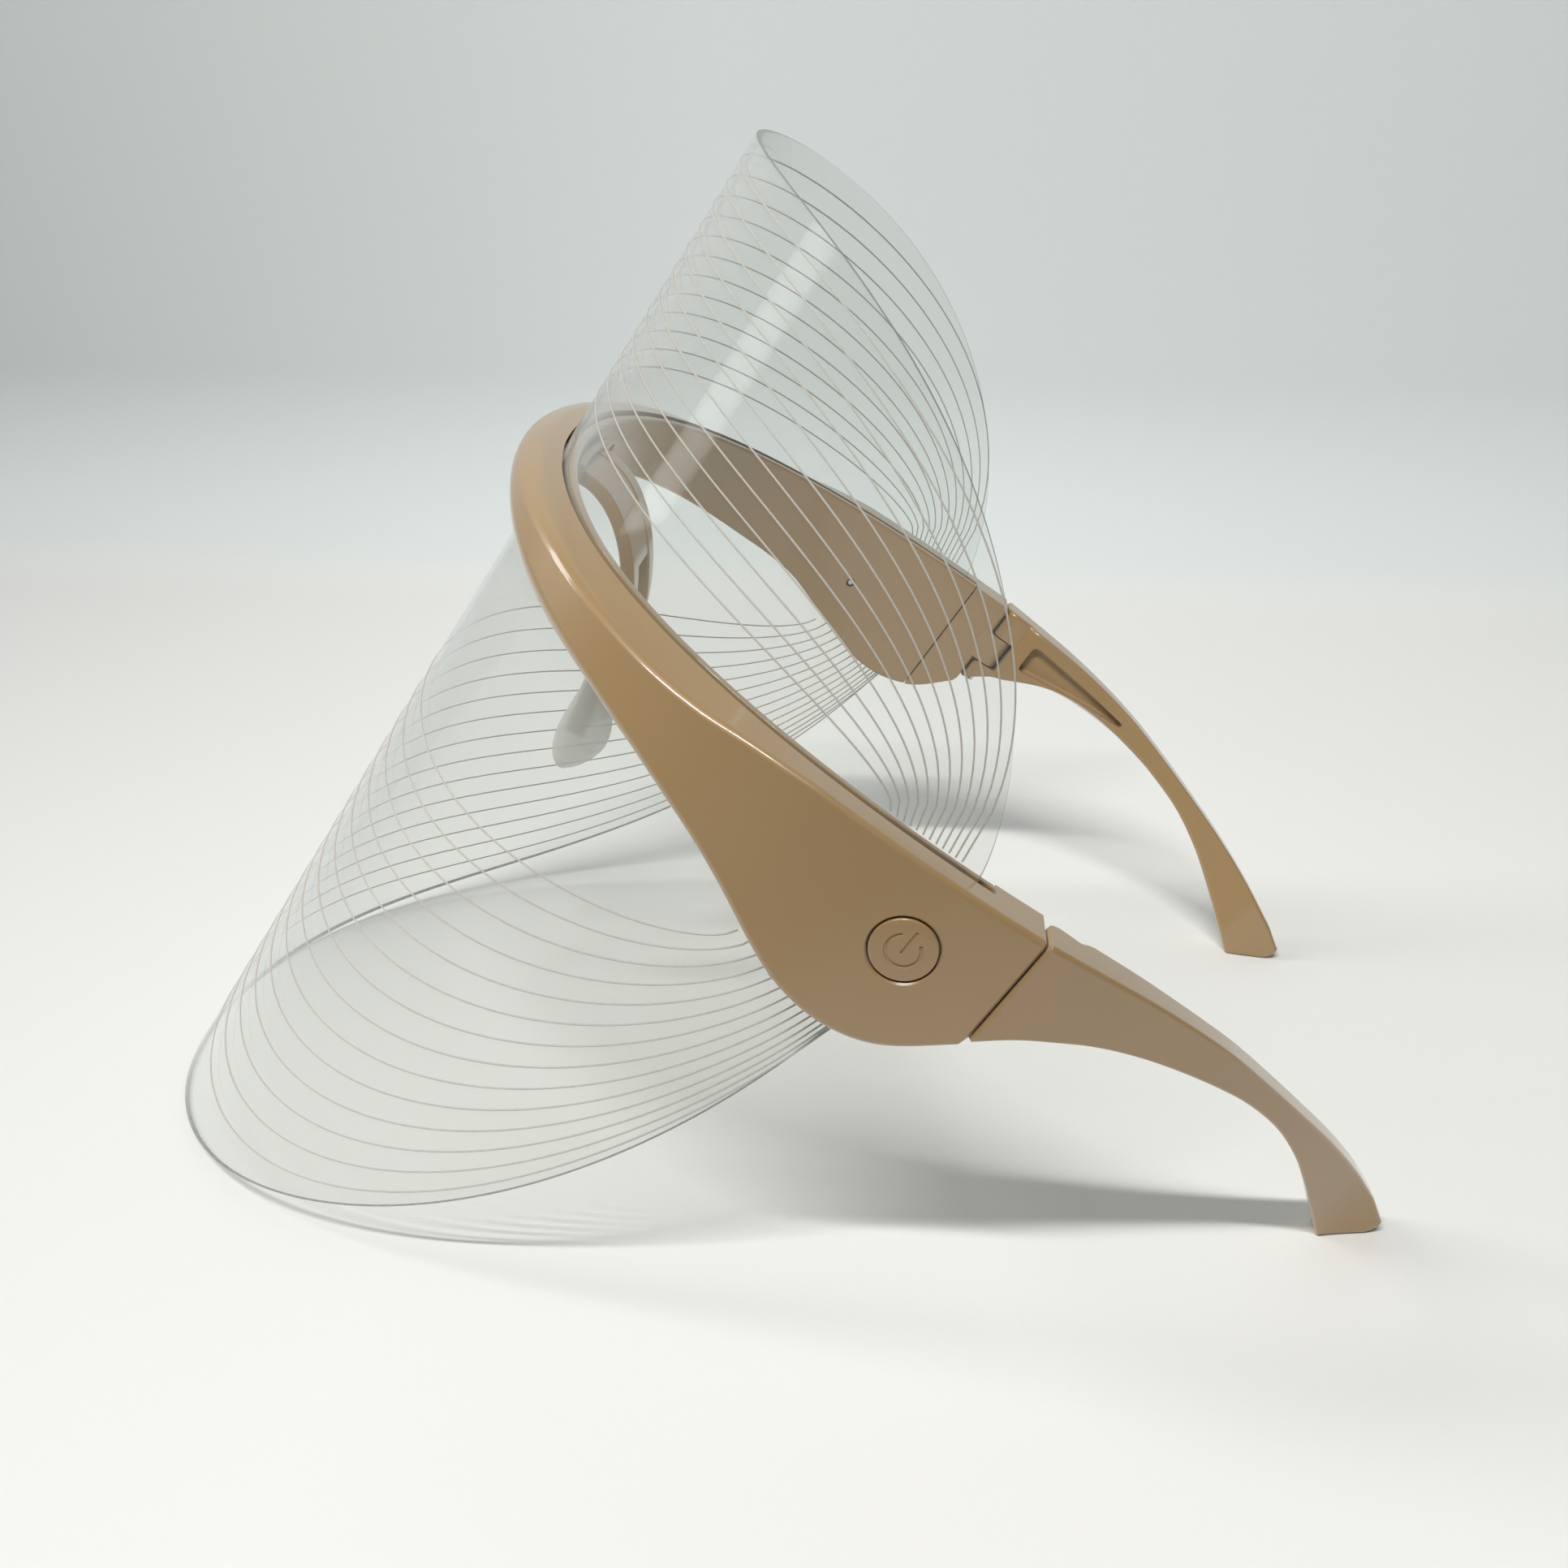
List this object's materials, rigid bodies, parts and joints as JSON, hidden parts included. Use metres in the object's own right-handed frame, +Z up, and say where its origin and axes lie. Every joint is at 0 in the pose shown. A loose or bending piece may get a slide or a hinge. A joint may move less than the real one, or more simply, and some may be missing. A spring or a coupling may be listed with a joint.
{
  "type": "led light therapy visor",
  "caption": "Clear wrap-around light-guide visor on a tan brow frame with folding temple arms, a round power button and a soft nose rest",
  "frame": {"origin": "centre of the footprint on the surface that the visor rests on", "axes": "+X across the visor towards the wearer's left, +Y from the lower edge of the sheet back to the soles of the arms, +Z up from the surface that the visor rests on"},
  "size_m": [0.157, 0.214, 0.164],
  "materials": {
    "frame_plastic": "satin tan moulded plastic",
    "clear_sheet": "clear polished acrylic sheet",
    "silicone": "translucent soft silicone",
    "metal": "bright plated steel",
    "circuit_board": "green solder mask",
    "black_plastic": "black moulded plastic",
    "led_lens": "light-emitting diode lens",
    "battery_foil": "foil pouch",
    "wire_insulation": "insulated lead"
  },
  "bodies": {
    "frame": {"outer_frame": "frame_plastic", "inner_frame": "frame_plastic", "visor_sheet": "clear_sheet", "left_brow_screw": "metal", "right_brow_screw": "metal", "left_temple_screw": "metal", "right_temple_screw": "metal", "tactile_switch": "metal", "control_board": "circuit_board", "controller_chip": "black_plastic", "charging_socket": "metal", "battery": "battery_foil", "led_board_left": "circuit_board", "led_board_right": "circuit_board", "led_left_1": "led_lens", "led_left_2": "led_lens", "led_left_3": "led_lens", "led_left_4": "led_lens", "led_left_5": "led_lens", "led_right_1": "led_lens", "led_right_2": "led_lens", "led_right_3": "led_lens", "led_right_4": "led_lens", "led_right_5": "led_lens", "brow_wiring": "wire_insulation", "right_strip_lead": "wire_insulation", "hinge_pin_left": "metal", "hinge_pin_right": "metal", "nose_bridge": "frame_plastic", "nose_screw_left": "metal", "nose_screw_right": "metal", "nose_pad_left": "silicone", "nose_pad_right": "silicone"},
    "button": {"power_button": "frame_plastic", "switch_plunger": "black_plastic"},
    "left_arm": {"temple_arm_left": "frame_plastic"},
    "right_arm": {"temple_arm_right": "frame_plastic"}
  },
  "joints": [
    {"name": "left_temple_fold", "type": "hinge", "parent": "frame", "child": "left_arm", "pos_m": [0.0727, 0.04535, 0.05749], "axis": [0, 0.559, 0.8291], "range_deg": [0, 88]},
    {"name": "right_temple_fold", "type": "hinge", "parent": "frame", "child": "right_arm", "pos_m": [-0.0727, 0.04535, 0.05749], "axis": [0, -0.559, -0.8291], "range_deg": [0, 70]},
    {"name": "power_button_press", "type": "slide", "parent": "frame", "child": "button", "axis": [-0.9999, 0.0088, -0.0059], "range_m": [0, 0.0005], "stiffness_N_per_m": 600, "springref_m": -0.002}
  ]
}
